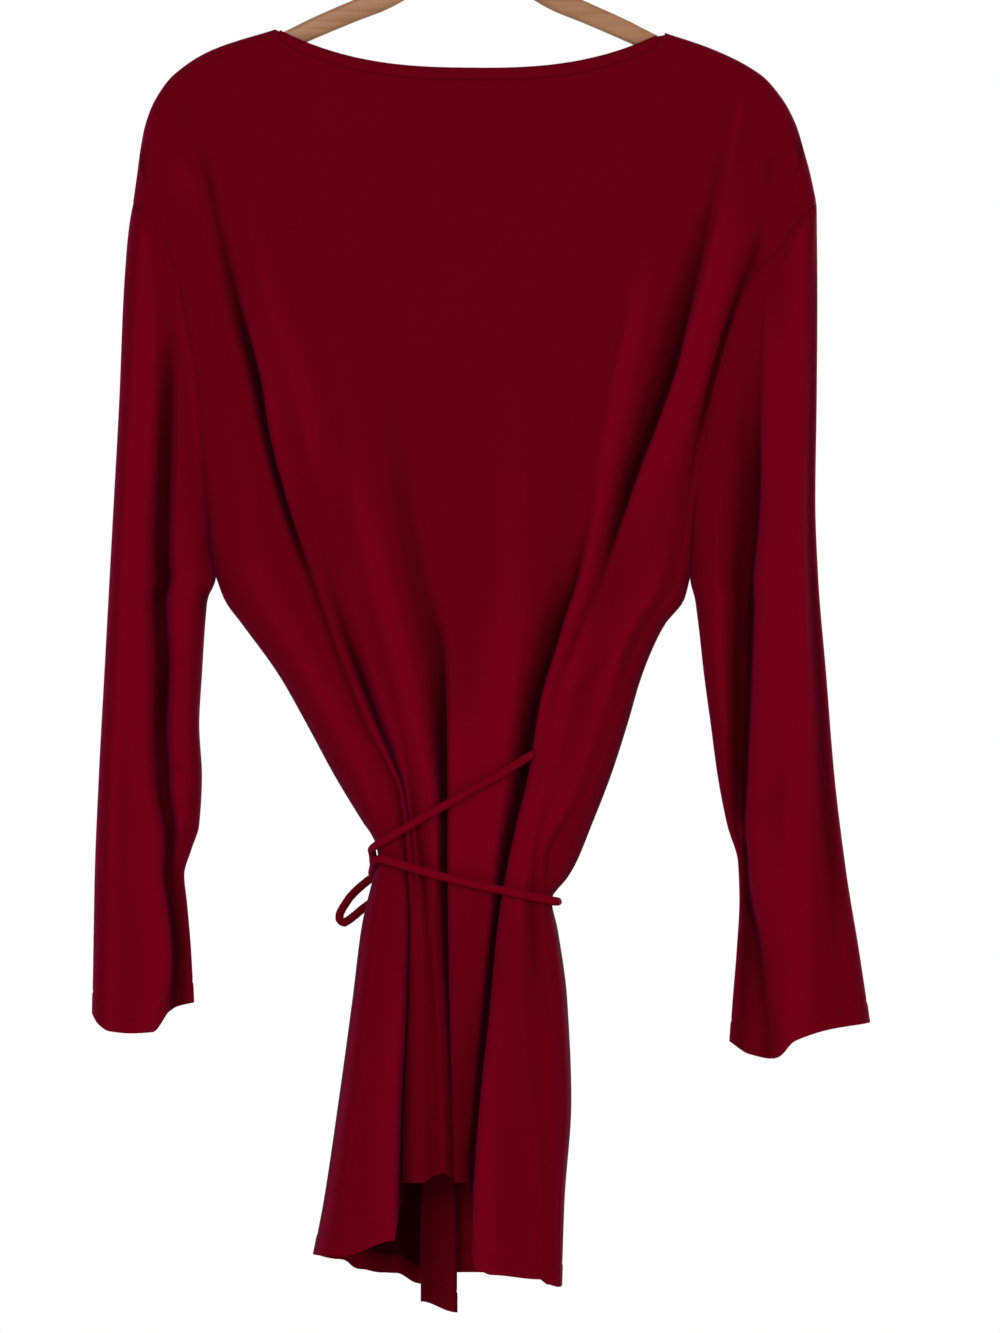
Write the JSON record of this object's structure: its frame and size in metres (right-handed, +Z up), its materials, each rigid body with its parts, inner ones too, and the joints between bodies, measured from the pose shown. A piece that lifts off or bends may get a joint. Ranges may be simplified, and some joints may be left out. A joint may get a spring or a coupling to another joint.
{
  "type": "tie-waist cardigan on a hanger",
  "caption": "Long-sleeved open-front jersey cardigan gathered by a narrow tie round the waist, hanging from a wooden hanger with a wire hook, back of the garment towards -Y",
  "frame": {"origin": "where the garment is held: the inner crest of the hanger's hook, which rests on a rail", "axes": "+Z up, -Y out of the garment's back, +X towards the wearer's right hand side as the garment is seen from behind"},
  "size_m": [0.5709, 0.1102, 1.0714],
  "materials": {
    "jersey": "dark crimson fine jersey with a soft low sheen",
    "wood": "tan satin-varnished wood",
    "steel": "bright plated wire"
  },
  "bodies": {
    "root": {"back": "jersey", "front_left": "jersey", "front_right": "jersey", "sleeve_left": "jersey", "sleeve_right": "jersey", "neck_band": "jersey", "tie_strand_high": "jersey", "tie_strand_low": "jersey", "tie_knot": "jersey", "bow_loop_out": "jersey", "bow_loop_in": "jersey", "tie_end_left": "jersey", "tie_end_right": "jersey", "hanger_arms": "wood", "hanger_hook": "steel"}
  },
  "joints": []
}
